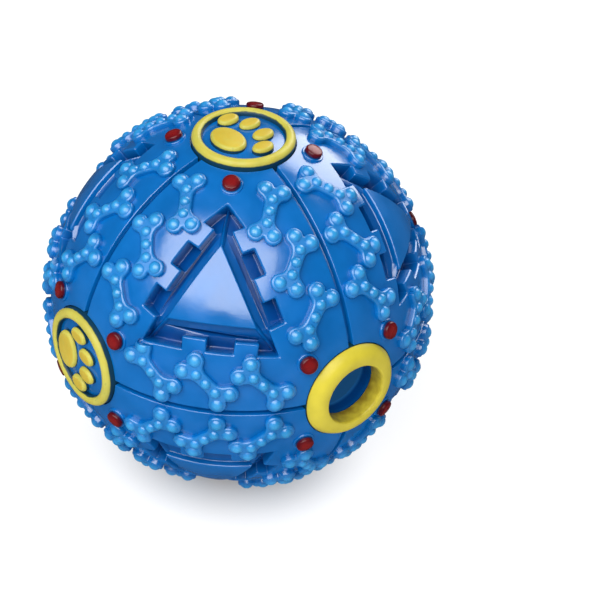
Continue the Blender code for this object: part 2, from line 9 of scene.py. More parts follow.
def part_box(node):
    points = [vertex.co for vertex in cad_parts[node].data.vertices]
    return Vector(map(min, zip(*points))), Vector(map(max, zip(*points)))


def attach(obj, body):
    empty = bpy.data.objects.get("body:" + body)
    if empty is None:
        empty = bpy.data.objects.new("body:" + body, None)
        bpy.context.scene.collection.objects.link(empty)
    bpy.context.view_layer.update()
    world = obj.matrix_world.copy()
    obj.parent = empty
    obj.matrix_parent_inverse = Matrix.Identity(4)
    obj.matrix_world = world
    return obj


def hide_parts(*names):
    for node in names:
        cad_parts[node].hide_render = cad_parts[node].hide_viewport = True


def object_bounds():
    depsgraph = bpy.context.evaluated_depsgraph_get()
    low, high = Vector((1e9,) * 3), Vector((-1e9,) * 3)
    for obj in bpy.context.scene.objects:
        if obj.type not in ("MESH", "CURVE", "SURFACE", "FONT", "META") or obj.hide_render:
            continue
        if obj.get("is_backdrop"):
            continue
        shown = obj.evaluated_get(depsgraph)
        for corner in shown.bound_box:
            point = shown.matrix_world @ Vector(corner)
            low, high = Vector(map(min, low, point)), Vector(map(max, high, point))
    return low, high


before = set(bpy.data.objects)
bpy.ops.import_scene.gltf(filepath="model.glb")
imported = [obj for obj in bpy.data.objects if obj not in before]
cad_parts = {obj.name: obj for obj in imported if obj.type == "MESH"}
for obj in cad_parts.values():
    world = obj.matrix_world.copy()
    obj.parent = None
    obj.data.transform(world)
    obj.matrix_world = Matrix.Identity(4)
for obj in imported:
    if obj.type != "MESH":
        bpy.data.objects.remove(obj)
cad_low, cad_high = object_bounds()

# Ball shells. Two halves of soft glossy blue vinyl, moulded with raised bones, sunken
# triangles and narrow grooves, and joined under the groove that runs through the side badges.
# One eighth of the ball is carved first, and the halves are mirrored from it.
BALL_RADIUS = 0.0565
BALL_SEGMENTS = 288
SEAM_GAP = 0.0003
PAST_MIDDLE = 0.004


def newest(name):
    """Name the piece that was just added."""
    piece = bpy.context.object
    piece.name = name
    piece.data.name = name
    return piece


# The eighth at the left, top and front, as a solid block with a little to spare past the
# middle planes.
bpy.ops.object.select_all(action="DESELECT")
bpy.ops.mesh.primitive_uv_sphere_add(segments=BALL_SEGMENTS, ring_count=BALL_SEGMENTS // 2,
                                     radius=BALL_RADIUS)
octant = newest("octant")
bpy.ops.object.mode_set(mode="EDIT")
for place, normal in (((PAST_MIDDLE, 0, 0), (1, 0, 0)), ((0, -SEAM_GAP / 2, 0), (0, 1, 0)),
                      ((0, 0, -PAST_MIDDLE), (0, 0, -1))):
    bpy.ops.mesh.select_all(action="SELECT")
    bpy.ops.mesh.bisect(plane_co=place, plane_no=normal, use_fill=True, clear_outer=True,
                        threshold=1e-7)
bpy.ops.object.mode_set(mode="OBJECT")

# Raised bones with a row of beads on each.
BONE_HALF = 0.0069
BONE_SPREAD = 0.0025
BONE_LOBE = 0.0026
BONE_WAIST = 0.0019
BONE_NECK = 0.0030
BONE_ROOT = 0.0015
BONE_HEIGHT = 0.0017
BONE_EDGE = 0.0007
BONE_CLEFT = math.radians(66)
BONE_CUT = 0.00237
LOBE_BEAD = 0.0022
LOBE_BEAD_SINK = 0.0012
SHAFT_BEAD = 0.0017
SHAFT_BEAD_SINK = 0.0007
SHAFT_BEAD_STEP = 0.0037


def bone_outline():
    """Outline of a bone along x: two lobes at each end, and a waist between curved necks."""
    reach = math.sqrt((BONE_LOBE + BONE_NECK) ** 2 - (BONE_WAIST + BONE_NECK - BONE_SPREAD) ** 2)
    neck_x = BONE_HALF - reach
    neck_y = BONE_WAIST + BONE_NECK
    touch = math.atan2(neck_y - BONE_SPREAD, neck_x - BONE_HALF)
    quarter = []
    neck_steps = 5
    for step in range(neck_steps):
        angle = -math.pi / 2 + (touch - math.pi / 2) * step / neck_steps
        quarter.append((neck_x + BONE_NECK * math.cos(angle), neck_y + BONE_NECK * math.sin(angle)))
    lobe_steps = 10
    for step in range(lobe_steps + 1):
        angle = touch - (BONE_CLEFT + touch) * step / lobe_steps
        quarter.append((BONE_HALF + BONE_LOBE * math.cos(angle), BONE_SPREAD + BONE_LOBE * math.sin(angle)))
    half = quarter + [(x, -y) for x, y in reversed(quarter)]
    return half + [(-x, -y) for x, y in half]


def pick(piece):
    """Make one piece the only selected and active one."""
    bpy.ops.object.select_all(action="DESELECT")
    piece.select_set(True)
    bpy.context.view_layer.objects.active = piece


def placed(name, data):
    """A new piece with a mesh or other data of its own, picked."""
    piece = bpy.data.objects.new(name, data)
    bpy.context.collection.objects.link(piece)
    pick(piece)
    return piece


def built(name, points, lines, faces):
    """A new piece from its points, edges and faces."""
    mesh = bpy.data.meshes.new(name)
    mesh.from_pydata(points, lines, faces)
    return placed(name, mesh)


def face_outwards(piece):
    """Turn the faces of a closed piece outwards."""
    pick(piece)
    bpy.ops.object.mode_set(mode="EDIT")
    bpy.ops.mesh.select_all(action="SELECT")
    bpy.ops.mesh.normals_make_consistent(inside=False)
    bpy.ops.object.mode_set(mode="OBJECT")


def plate(name, loop, low, high, edge, segments):
    """A plate with a drawn outline, from one height up to another, its upper edge rounded."""
    lines = [(i, (i + 1) % len(loop)) for i in range(len(loop))]
    piece = built(name, [(x, y, low) for x, y in loop], lines, [])
    bpy.ops.object.mode_set(mode="EDIT")
    bpy.ops.mesh.select_all(action="SELECT")
    bpy.ops.mesh.edge_face_add()
    bpy.ops.mesh.extrude_region_move(TRANSFORM_OT_translate={"value": (0, 0, high - low)})
    if edge:
        bpy.ops.mesh.bevel(offset=edge, segments=segments, affect="EDGES")
    bpy.ops.object.mode_set(mode="OBJECT")
    return piece


def apply_steps(piece):
    """Apply all modifiers of a piece."""
    pick(piece)
    for step in list(piece.modifiers):
        bpy.ops.object.modifier_apply(modifier=step.name)


def carve(piece, tool, operation="DIFFERENCE"):
    """Cut a tool out of a piece, or join it on, and throw the tool away."""
    step = piece.modifiers.new("carve", "BOOLEAN")
    step.operation = operation
    step.solver = "EXACT"
    step.object = tool
    apply_steps(piece)
    bpy.data.objects.remove(tool)


def merge_pieces(pieces):
    """Several pieces as one."""
    pick(pieces[0])
    for piece in pieces:
        piece.select_set(True)
    bpy.ops.object.join()
    return bpy.context.object


bone = plate("bone", bone_outline(), -BONE_ROOT, BONE_HEIGHT, BONE_EDGE, 3)
face_outwards(bone)
bpy.ops.object.select_all(action="DESELECT")
bead_spots = [(side * BONE_HALF, end * BONE_SPREAD, LOBE_BEAD, LOBE_BEAD_SINK)
              for side in (-1, 1) for end in (-1, 1)]
bead_spots += [(step * SHAFT_BEAD_STEP, 0.0, SHAFT_BEAD, SHAFT_BEAD_SINK) for step in (-1, 0, 1)]
beads = []
for x, y, radius, sink in bead_spots:
    bpy.ops.mesh.primitive_uv_sphere_add(segments=18, ring_count=12, radius=radius,
                                         location=(x, y, BONE_HEIGHT - sink))
    bead = newest("bead")
    bpy.ops.object.transform_apply(location=True, rotation=False, scale=False)
    beads.append(bead)
carve(bone, merge_pieces(beads), "UNION")
pick(bone)
bpy.ops.object.mode_set(mode="EDIT")
for cut in range(-3, 4):
    bpy.ops.mesh.select_all(action="SELECT")
    bpy.ops.mesh.bisect(plane_co=(cut * BONE_CUT, 0, 0), plane_no=(1, 0, 0))
bpy.ops.object.mode_set(mode="OBJECT")

BONE_STEP = math.radians(16.4)
BONE_OFFSET = math.radians(10.2)
BONE_TURN = math.radians(42.0)
LEFT = Vector((-1.0, 0.0, 0.0))
TOP = Vector((0.0, 0.0, 1.0))
FRONT = Vector((0.0, -1.0, 0.0))


def lay_on_ball(piece, middle, right, up):
    """Wrap a piece drawn flat round the ball: x and y run along the surface, z out of it."""
    for point in piece.data.vertices:
        x, y, z = point.co
        direction = (middle + (right * x + up * y) / BALL_RADIUS).normalized()
        point.co = direction * (BALL_RADIUS + z)


bones = []
for start, stop, inside in ((TOP, LEFT, FRONT), (TOP, FRONT, LEFT), (FRONT, LEFT, TOP)):
    for number in (-1, 0, 1):
        along = math.pi / 4 + number * BONE_STEP
        on_groove = start * math.cos(along) + stop * math.sin(along)
        spot = on_groove * math.cos(BONE_OFFSET) + inside * math.sin(BONE_OFFSET)
        forward = stop * math.cos(along) - start * math.sin(along)
        inward = inside * math.cos(BONE_OFFSET) - on_groove * math.sin(BONE_OFFSET)
        axis = forward * math.cos(BONE_TURN) + inward * math.sin(BONE_TURN)
        across = inward * math.cos(BONE_TURN) - forward * math.sin(BONE_TURN)
        one = placed("bone", bone.data.copy())
        lay_on_ball(one, spot, axis, across)
        bones.append(one)
bpy.data.objects.remove(bone)
bones = merge_pieces(bones)
face_outwards(bones)
carve(octant, bones, "UNION")

# Sunken triangle with a toothed rim, round a raised triangular plateau. Sizes along the surface
# are degrees on the plane that touches the middle of the eighth.
DEGREE = math.radians(1.0) * BALL_RADIUS
MOAT_DEPTH = 0.0045
PLATEAU_STEP = 0.0020
FLOOR_SLOPE = math.radians(21.0)
PLATEAU_IN = 7.9
TOOTH_IN = 12.4
NOTCH_IN = 16.4
CORNER_IN = 10.8
MOAT_APEX = 29.8
SLOPE = math.radians(30.0)
SIDE_START = -16.2
SIDE_TOOTH = 7.7
SIDE_NOTCH = 8.1
BASE_START = -8.4
BASE_TOOTH = 7.5
BASE_NOTCH = 8.3


def beside(along, inradius, mirror):
    """A point beside a slanted side of the triangle, measured along it from its middle."""
    x = inradius * math.cos(SLOPE) + along * math.sin(SLOPE)
    y = inradius * math.sin(SLOPE) - along * math.cos(SLOPE)
    return (mirror * x, y)


def slanted_rim(mirror):
    """Toothed rim down one slanted side, from the apex to the base corner."""
    points = []
    along = SIDE_START
    for _ in range(2):
        points += [beside(along, NOTCH_IN, mirror), beside(along, TOOTH_IN, mirror)]
        along += SIDE_TOOTH
        points += [beside(along, TOOTH_IN, mirror), beside(along, NOTCH_IN, mirror)]
        along += SIDE_NOTCH
    points += [beside(along, NOTCH_IN, mirror), beside(along, CORNER_IN, mirror)]
    corner = (CORNER_IN + NOTCH_IN * math.sin(SLOPE)) / math.cos(SLOPE)
    return points + [(mirror * corner, -NOTCH_IN)]


def base_rim():
    """Toothed rim along the base, from left to right."""
    points = []
    x = BASE_START
    for _ in range(2):
        far = x + BASE_TOOTH
        points += [(x, -NOTCH_IN), (x, -TOOTH_IN), (far, -TOOTH_IN), (far, -NOTCH_IN)]
        x += BASE_TOOTH + BASE_NOTCH
    return points


CORNER_SHARES = (0.0, 0.25, 0.5, 0.75)
CORNER_PARTS = 2.2


def softened(loop, cut, counts):
    """An outline with its corners rounded off, and each side split into a number of steps."""
    rounded = []
    for i, here in enumerate(loop):
        to_back = loop[i - 1] - here
        to_ahead = loop[(i + 1) % len(loop)] - here
        first = here + to_back.normalized() * min(cut, to_back.length / CORNER_PARTS)
        last = here + to_ahead.normalized() * min(cut, to_ahead.length / CORNER_PARTS)
        for share in CORNER_SHARES:
            rounded.append(first.lerp(here, share).lerp(here.lerp(last, share), share))
        ahead = loop[(i + 1) % len(loop)]
        far = ahead - to_ahead.normalized() * min(cut, to_ahead.length / CORNER_PARTS)
        rounded += [last.lerp(far, step / counts[i]) for step in range(counts[i])]
    return rounded


def grown(loop, amount):
    """An outline that runs anticlockwise, moved outwards by an amount."""
    moved = []
    for i, point in enumerate(loop):
        back = (point - loop[i - 1]).normalized()
        ahead = (loop[(i + 1) % len(loop)] - point).normalized()
        out_back = Vector((back.y, -back.x))
        out_ahead = Vector((ahead.y, -ahead.x))
        moved.append(point + (out_back + out_ahead) * amount / (1.0 + out_back.dot(out_ahead)))
    return moved


left_rim = slanted_rim(-1)
moat_rim = [(0.0, MOAT_APEX)] + left_rim + base_rim() + slanted_rim(1)[::-1]
moat_corners = (0, len(left_rim), len(left_rim) + len(base_rim()) + 1)
plateau_x = (PLATEAU_IN + PLATEAU_IN * math.sin(SLOPE)) / math.cos(SLOPE)
plateau_rim = [(0.0, 2 * PLATEAU_IN), (-plateau_x, -PLATEAU_IN), (plateau_x, -PLATEAU_IN)]
RIM_CORNER = 0.0005
RIM_STEP = 0.0011
RIM_LIFT = 0.0001
OVER_TOP = 0.006

# The cutter's walls flare at the ball's surface and round into the floor, which slopes down from
# the foot of the plateau to the teeth.
WALL_STEPS = 4
MOAT_ROUNDS = (0.0007, 0.0003)
PLATEAU_ROUNDS = (0.0006, 0.0003)
FLOOR_BANDS = (0.0010, 0.0017, 0.0024)
plateau_sides = [Vector((0.0, -1.0)), Vector((math.cos(SLOPE), math.sin(SLOPE))),
                 Vector((-math.cos(SLOPE), math.sin(SLOPE)))]


def moat_depth(spot):
    """Depth of the moat's floor at a spot of the flat drawing."""
    away = max(spot.dot(side) for side in plateau_sides) - PLATEAU_IN * DEGREE
    return PLATEAU_STEP + max(0.0, away) * math.tan(FLOOR_SLOPE)


points = []
faces = []
rings = [[] for _ in range(2 * WALL_STEPS + 3)]
corner_points = []
for rim, corners, direction, (rim_round, floor_round) in ((moat_rim, moat_corners, 1, MOAT_ROUNDS),
                                                          (plateau_rim, (0, 1, 2), -1, PLATEAU_ROUNDS)):
    loop = [Vector(corner) * DEGREE for corner in rim]
    sides = [(loop[(i + 1) % len(loop)] - loop[i]).length for i in range(len(loop))]
    counts = [math.ceil(side / RIM_STEP) for side in sides]
    corner_points.append([sum(counts[:i]) + len(CORNER_SHARES) * i + 2 for i in corners])
    angles = [math.pi / 2 * step / WALL_STEPS for step in range(WALL_STEPS + 1)]
    levels = [(rim_round, OVER_TOP, 0.0), (rim_round, RIM_LIFT, 0.0)]
    levels += [(rim_round * (1 - math.sin(angle)), rim_round * (math.cos(angle) - 1), 0.0)
               for angle in angles[1:]]
    levels += [(floor_round * (math.cos(angle) - 1), floor_round * (1 - math.sin(angle)), 1.0)
               for angle in angles]
    for ring, (growth, height, sunk) in zip(rings, levels):
        first = len(points)
        for spot in softened(grown(loop, growth * direction), RIM_CORNER, counts):
            points.append((spot.x, spot.y, height - sunk * moat_depth(spot)))
        ring.append(range(first, len(points)))
floor_loops = [rings[-1][1]]
for reach in FLOOR_BANDS:
    first = len(points)
    for spot in softened(grown(loop, reach), RIM_CORNER, counts):
        points.append((spot.x, spot.y, -moat_depth(spot)))
    floor_loops.append(range(first, len(points)))
strips = [strip for upper, lower in zip(rings, rings[1:]) for strip in zip(upper, lower)]
for above, below in strips + list(zip(floor_loops, floor_loops[1:])):
    count = len(above)
    for i in range(count):
        k = (i + 1) % count
        faces.append((above[i], above[k], below[k], below[i]))

# The rest of the floor, and the lid, are filled in one piece for each side of the triangle, so
# that the floor has a ridge at its corners.


def stretch_of(loop, start, stop):
    """Points of a closed loop from one place round to another, both included."""
    return [loop[i % len(loop)] for i in range(start, stop + 1 + (len(loop) if stop < start else 0))]


for outer, inner in (rings[0], (rings[-1][0], floor_loops[-1])):
    for k in range(3):
        around = stretch_of(outer, corner_points[0][k], corner_points[0][(k + 1) % 3])
        around += reversed(stretch_of(inner, corner_points[1][k], corner_points[1][(k + 1) % 3]))
        fill = tessellate_polygon([[Vector(points[i]) for i in around]])
        faces += [tuple(around[i] for i in corners) for corners in fill]
middle = (LEFT + TOP + FRONT).normalized()
middle_right = (FRONT - LEFT).normalized()
middle_up = (TOP - middle * TOP.dot(middle)).normalized()
moat = built("moat", points, [], faces)
lay_on_ball(moat, middle, middle_right, middle_up)
face_outwards(moat)
carve(octant, moat)

# Low ribs from the corners of the plateau to the corners of the moat.
RIB_HALF = 0.0011
RIB_HEIGHT = 0.0011
RIB_ROOT = 0.0008
RIB_PAST = 0.0022
RIB_STEPS = 6
RIB_SHOULDER = 0.75
ribs = []
for inner, outer in zip(plateau_rim, ((0.0, MOAT_APEX), slanted_rim(-1)[-1], slanted_rim(1)[-1])):
    start = Vector(inner) * DEGREE
    stop = Vector(outer) * DEGREE
    run = (stop - start).normalized()
    start -= run * RIB_PAST
    stop += run * RIB_PAST
    points = []
    faces = []
    shoulder = RIB_SHOULDER * RIB_HEIGHT
    section = [(-RIB_HALF, -RIB_ROOT), (-RIB_HALF / 3, shoulder), (0.0, RIB_HEIGHT),
               (RIB_HALF / 3, shoulder), (RIB_HALF, -RIB_ROOT)]
    sides = len(section)
    for step in range(RIB_STEPS + 1):
        spot = start.lerp(stop, step / RIB_STEPS)
        points += [(spot.x + run.y * across, spot.y - run.x * across, height - moat_depth(spot))
                   for across, height in section]
    for near in range(0, RIB_STEPS * sides, sides):
        for i in range(sides):
            k = (i + 1) % sides
            faces.append((near + i, near + k, near + sides + k, near + sides + i))
    faces += [tuple(range(sides)), tuple(range(len(points) - sides, len(points)))]
    rib = built("rib", points, [], faces)
    lay_on_ball(rib, middle, middle_right, middle_up)
    face_outwards(rib)
    ribs.append(rib)
carve(octant, merge_pieces(ribs), "UNION")

# Pockets for the studs with a low rim round each, and the round-lipped grooves along the three
# middle circles. Pockets and grooves are turned by half a facet, so that no point of a cutter
# falls on a point of what it cuts.
STUD_ANGLE = math.radians(20.8)
STUD_RADIUS = 0.0026
STUD_DEPTH = 0.0022
STUD_SIDES = 32
FIT_GAP = 0.00005


def stud_direction(pole, eighth):
    """Where a stud sits: beside a pole, towards the middle of an eighth of the ball."""
    aside = (eighth - pole * eighth.dot(pole)).normalized()
    return pole * math.cos(STUD_ANGLE) + aside * math.sin(STUD_ANGLE)


def arc(radius, height, bend, start, stop, steps=6):
    """Points of a round stretch of a profile, about (radius, height), from one angle to another."""
    angles = [math.radians(start + (stop - start) * step / steps) for step in range(steps + 1)]
    return [(radius + bend * math.cos(angle), height + bend * math.sin(angle)) for angle in angles]


def turned(name, profile, steps, closed=True):
    """A round piece about Z, spun from (radius, height) points."""
    lines = [(i, i + 1) for i in range(len(profile) - 1)]
    if closed:
        lines.append((len(profile) - 1, 0))
    piece = built(name, [(radius, 0.0, height) for radius, height in profile], lines, [])
    bpy.ops.object.mode_set(mode="EDIT")
    bpy.ops.mesh.select_all(action="SELECT")
    bpy.ops.mesh.spin(steps=steps, angle=math.tau, center=(0, 0, 0), axis=(0, 0, 1))
    bpy.ops.mesh.select_all(action="SELECT")
    bpy.ops.mesh.remove_doubles(threshold=1e-6)
    bpy.ops.object.mode_set(mode="OBJECT")
    face_outwards(piece)
    return piece


def stand(piece, direction, mark):
    """Turn a piece made along +Z to stand along a direction, with its +X side at the mark."""
    z_axis = direction.normalized()
    x_axis = (mark - z_axis * mark.dot(z_axis)).normalized()
    turn = Matrix((x_axis, z_axis.cross(x_axis), z_axis)).transposed().to_4x4()
    piece.data.transform(turn)
    return piece


STUD_RIM_RADIUS = 0.0033
STUD_RIM_HEIGHT = 0.00045
STUD_RIM_ROUND = 0.0003
rims = []
pockets = []
for pole in (LEFT, TOP, FRONT):
    top = BALL_RADIUS + STUD_RIM_HEIGHT
    low = BALL_RADIUS - STUD_DEPTH / 2
    profile = [(0, top)]
    profile += arc(STUD_RIM_RADIUS - STUD_RIM_ROUND, top - STUD_RIM_ROUND, STUD_RIM_ROUND, 90, 0, 4)
    profile += [(STUD_RIM_RADIUS, low), (0, low)]
    rim = turned("rim", profile, STUD_SIDES, closed=False)
    rims.append(stand(rim, stud_direction(pole, middle), pole))
    wide = STUD_RADIUS + FIT_GAP
    low = BALL_RADIUS - STUD_DEPTH
    high = BALL_RADIUS + OVER_TOP
    pocket = turned("pocket", [(0, high), (wide, high), (wide, low), (0, low)], STUD_SIDES, closed=False)
    pocket.data.transform(Matrix.Rotation(math.pi / STUD_SIDES, 4, "Z"))
    pockets.append(stand(pocket, stud_direction(pole, middle), pole))
carve(octant, merge_pieces(rims), "UNION")
carve(octant, merge_pieces(pockets))

REAR = Vector((0.0, 1.0, 0.0))
GROOVE_DEPTH = 0.0019
GROOVE_HALF = 0.0011
GROOVE_LIP = 0.0003
GROOVE_FLOOR = 0.0005
groove_low = BALL_RADIUS - GROOVE_DEPTH
groove_side = [(groove_low, 0.0)]
groove_side += arc(groove_low + GROOVE_LIP, GROOVE_FLOOR - GROOVE_LIP / 2, GROOVE_LIP, 180, 90, 3)
groove_side += arc(BALL_RADIUS - GROOVE_LIP, GROOVE_HALF, GROOVE_LIP, -90, 0, 4)
groove_side.append((BALL_RADIUS + OVER_TOP, GROOVE_HALF + GROOVE_LIP))
groove_profile = groove_side + [(radius, -width) for radius, width in reversed(groove_side[1:])]
for normal, mark in ((LEFT, TOP), (REAR, LEFT), (TOP, FRONT)):
    groove = turned("groove", groove_profile, BALL_SEGMENTS)
    groove.data.transform(Matrix.Rotation(math.pi / BALL_SEGMENTS, 4, "Z"))
    carve(octant, stand(groove, normal, mark))

# The hollow, and the round seats for the badges at the left and the top.
CHAMBER_RADIUS = 0.0490
CHAMBER_SEGMENTS = 72
bpy.ops.object.select_all(action="DESELECT")
bpy.ops.mesh.primitive_uv_sphere_add(segments=CHAMBER_SEGMENTS, ring_count=CHAMBER_SEGMENTS // 2,
                                     radius=CHAMBER_RADIUS)
carve(octant, newest("chamber"))
SEAT_RADIUS = 0.0151
SEAT_GAP = 0.0003
SEAT_FLOOR = 0.0524
SEAT_SIDES = 96
MOUTH_BORE = 0.0095


def seat(pole, mark, bore):
    """Cutter for the round seat at a pole, with a way through the wall for the feed mouth."""
    wide = SEAT_RADIUS + SEAT_GAP
    high = BALL_RADIUS + OVER_TOP
    profile = [(0.0, high), (wide, high), (wide, SEAT_FLOOR)]
    if bore:
        deep = CHAMBER_RADIUS - OVER_TOP
        profile += [(bore, SEAT_FLOOR), (bore, deep), (0.0, deep)]
    else:
        profile.append((0.0, SEAT_FLOOR))
    return stand(turned("seat", profile, SEAT_SIDES, closed=False), pole, mark)


carve(octant, merge_pieces([seat(LEFT, TOP, 0.0), seat(TOP, LEFT, 0.0)]))

# Glossy vinyl whose colour follows the height on the ball: darker where it is sunk, a painted shade, and
# paler on the bones and beads, a painted highlight; the worn high spots are also duller. The hollow has a
# faint navy glow, painted light that stands for daylight through the wall, so it is navy and not black.
VINYL_STOPS = (0.0, 0.53, 0.62, 0.77, 0.88)
HIGH_SPOT = 0.0036
RUB_START = 0.0004
RUB_ROUGHNESS = 0.15
WALL_GLOW = (0.007, 0.044, 0.098)
GLOW_DEPTHS = (0.0002, 0.0012)
BLACK = (0.0, 0.0, 0.0)


def new_surface(name):
    """A new material, with its nodes, its shader and the place of a spot on the piece."""
    surface = bpy.data.materials.new(name)
    surface.use_nodes = True
    tree = surface.node_tree
    place = tree.nodes.new("ShaderNodeTexCoord").outputs["Object"]
    return surface, tree, tree.nodes["Principled BSDF"], place


def length_of(tree, vector):
    """The length of a vector."""
    node = tree.nodes.new("ShaderNodeVectorMath")
    node.operation = "LENGTH"
    tree.links.new(vector, node.inputs[0])
    return node.outputs["Value"]


def summed(tree, first, second):
    """The sum of two values."""
    node = tree.nodes.new("ShaderNodeMath")
    tree.links.new(first, node.inputs[0])
    tree.links.new(second, node.inputs[1])
    return node.outputs["Value"]


def noise(tree, place, scale, detail):
    """A noise pattern over a piece."""
    node = tree.nodes.new("ShaderNodeTexNoise")
    node.inputs["Scale"].default_value = scale
    node.inputs["Detail"].default_value = detail
    tree.links.new(place, node.inputs["Vector"])
    return node.outputs["Fac"]


def ranged(tree, value, span, result):
    """A value within a span, moved to the same share of the result's span."""
    node = tree.nodes.new("ShaderNodeMapRange")
    for socket, limit in zip(("From Min", "From Max", "To Min", "To Max"), (*span, *result)):
        node.inputs[socket].default_value = limit
    tree.links.new(value, node.inputs["Value"])
    return node.outputs["Result"]


def toned(tree, value, spots, colours):
    """A colour that runs through a row of colours, each at its own spot between 0 and 1."""
    node = tree.nodes.new("ShaderNodeValToRGB")
    stops = node.color_ramp.elements
    stops[0].position = spots[0]
    stops[1].position = spots[-1]
    for spot in spots[1:-1]:
        stops.new(spot)
    for stop, colour in zip(stops, colours):
        stop.color = (*colour, 1.0)
    tree.links.new(value, node.inputs["Fac"])
    return node.outputs["Color"]


def blotched(tree, colour, pattern, dark, light):
    """A colour that a noise pattern makes darker or lighter."""
    node = tree.nodes.new("ShaderNodeHueSaturation")
    tree.links.new(ranged(tree, pattern, (0.3, 0.7), (dark, light)), node.inputs["Value"])
    tree.links.new(colour, node.inputs["Color"])
    return node.outputs["Color"]


def ripple(tree, shader, pattern, strength, distance):
    """Let a noise pattern ripple a surface."""
    node = tree.nodes.new("ShaderNodeBump")
    node.inputs["Strength"].default_value = strength
    node.inputs["Distance"].default_value = distance
    tree.links.new(pattern, node.inputs["Height"])
    tree.links.new(node.outputs["Normal"], shader.inputs["Normal"])


def vinyl(name, deep, main, raised, high, roughness):
    """Moulded vinyl whose colour follows the height on the ball, with painted shade low and painted
    highlight high, and a faint uneven gloss.
    """
    surface, tree, shader, place = new_surface(name)
    out = length_of(tree, place)
    height = ranged(tree, out, (BALL_RADIUS - MOAT_DEPTH, BALL_RADIUS + HIGH_SPOT), (0.0, 1.0))
    tone = toned(tree, height, VINYL_STOPS, (deep, main, main, raised, high))
    cloud = noise(tree, place, scale=110.0, detail=3.0)
    blotch = blotched(tree, tone, cloud, dark=0.88, light=1.1)
    tree.links.new(blotch, shader.inputs["Base Color"])

    gloss = ranged(tree, cloud, (0.25, 0.75), (roughness - 0.07, roughness + 0.09))
    rub = ranged(tree, out, (BALL_RADIUS + RUB_START, BALL_RADIUS + BONE_HEIGHT), (0.0, RUB_ROUGHNESS))
    tree.links.new(summed(tree, gloss, rub), shader.inputs["Roughness"])
    ripple(tree, shader, noise(tree, place, scale=120.0, detail=4.0), strength=0.22, distance=0.0005)
    shader.inputs["Specular IOR Level"].default_value = 1.0

    # Painted light: the hollow's wall glows faintly navy.
    inside = ranged(tree, out, [CHAMBER_RADIUS + depth for depth in GLOW_DEPTHS], (0.0, 1.0))
    glow = toned(tree, inside, (0.0, 1.0), (WALL_GLOW, BLACK))
    tree.links.new(glow, shader.inputs["Emission Color"])
    shader.inputs["Emission Strength"].default_value = 1.0
    return surface


# The deep colour is painted shade in the moats and grooves; the raised and high colours are painted
# highlight on the bones and beads.
blue_vinyl = vinyl("blue_vinyl", deep=(0.0, 0.055, 0.25), main=(0.0, 0.132, 0.440),
                   raised=(0.004, 0.185, 0.52), high=(0.022, 0.30, 0.65), roughness=0.18)


def smooth(piece, angle=38.0):
    """Shade the round faces smooth and keep the edges crisp."""
    pick(piece)
    bpy.ops.object.shade_smooth_by_angle(angle=math.radians(angle))


SURFACE_SLACK = 8e-6


def shade_as_ball(piece):
    """Let the faces that lie on the ball's own surface shade as a true sphere."""
    mesh = piece.data
    normals = [Vector(corner.vector) for corner in mesh.corner_normals]
    for face in mesh.polygons:
        places = [mesh.vertices[i].co for i in face.vertices]
        if max(abs(place.length - BALL_RADIUS) for place in places) < SURFACE_SLACK:
            for corner, place in zip(face.loop_indices, places):
                normals[corner] = place.normalized()
    mesh.normals_split_custom_set(normals)


def dress(piece, surface, node, body="ball"):
    """Give a finished piece its material, hide the node it stands for, and hang it on its body."""
    piece.data.materials.clear()
    piece.data.materials.append(surface)
    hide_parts(node)
    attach(piece, body)


rear_octant = placed("rear_octant", octant.data.copy())
rear_octant.data.transform(Matrix.Scale(-1.0, 4, REAR))
rear_octant.data.flip_normals()
carve(octant, seat(FRONT, TOP, MOUTH_BORE))
carve(rear_octant, seat(REAR, TOP, 0.0))

# The halves lap at the seam: a tongue on the rear half runs inside a step in the front half.
LAP_LENGTH = 0.0030
LAP_SIDES = 144
TONGUE_INNER = CHAMBER_RADIUS + 0.0001
TONGUE_OUTER = CHAMBER_RADIUS + 0.0018
lap_inner = CHAMBER_RADIUS - OVER_TOP
lap_outer = TONGUE_OUTER + SEAM_GAP
lap_end = LAP_LENGTH + SEAM_GAP
tongue = turned("tongue", [(TONGUE_INNER, -LAP_LENGTH / 2), (TONGUE_OUTER, -LAP_LENGTH / 2),
                           (TONGUE_OUTER, LAP_LENGTH), (TONGUE_INNER, LAP_LENGTH)], LAP_SIDES)
carve(rear_octant, stand(tongue, FRONT, LEFT), "UNION")
step = turned("step", [(lap_inner, -LAP_LENGTH), (lap_outer, -LAP_LENGTH), (lap_outer, lap_end),
                       (lap_inner, lap_end)], LAP_SIDES)
carve(octant, stand(step, FRONT, LEFT))

# Spring clips on the rear wall that hold the squeaker's tube near its two ends: a ring open to the
# front, on a post that runs into the wall.
CLIP_GAP = 0.0003
CLIP_WALL = 0.0025
CLIP_HEIGHT = 0.0060
CLIP_OPENING = 0.0075
CLIP_POST = 0.0040
CLIP_EDGE = 0.0004
CLIP_ROOT = 0.0015
tube_low, tube_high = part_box("sounder_tube")
tube_axis = Vector((0.0, (tube_low.y + tube_high.y) / 2, 0.0))
TUBE_RADIUS = 0.0095
TUBE_SIDES = 64


def band(inner, outer, low, high, bend):
    """Profile of a ring with rounded edges."""
    return (arc(outer - bend, high - bend, bend, 0, 90, 3)
            + arc(inner + bend, high - bend, bend, 90, 180, 3)
            + arc(inner + bend, low + bend, bend, 180, 270, 3)
            + arc(outer - bend, low + bend, bend, 270, 360, 3))


def bar(name, low, high, edge=0.0):
    """A straight bar between two corners, with its edges rounded."""
    low = Vector(low)
    high = Vector(high)
    bpy.ops.object.select_all(action="DESELECT")
    bpy.ops.mesh.primitive_cube_add(size=1.0, location=(low + high) / 2, scale=high - low)
    piece = newest(name)
    bpy.ops.object.transform_apply(location=True, rotation=False, scale=True)
    if edge:
        bpy.ops.object.mode_set(mode="EDIT")
        bpy.ops.mesh.select_all(action="SELECT")
        bpy.ops.mesh.bevel(offset=edge, segments=2, affect="EDGES")
        bpy.ops.object.mode_set(mode="OBJECT")
    return piece


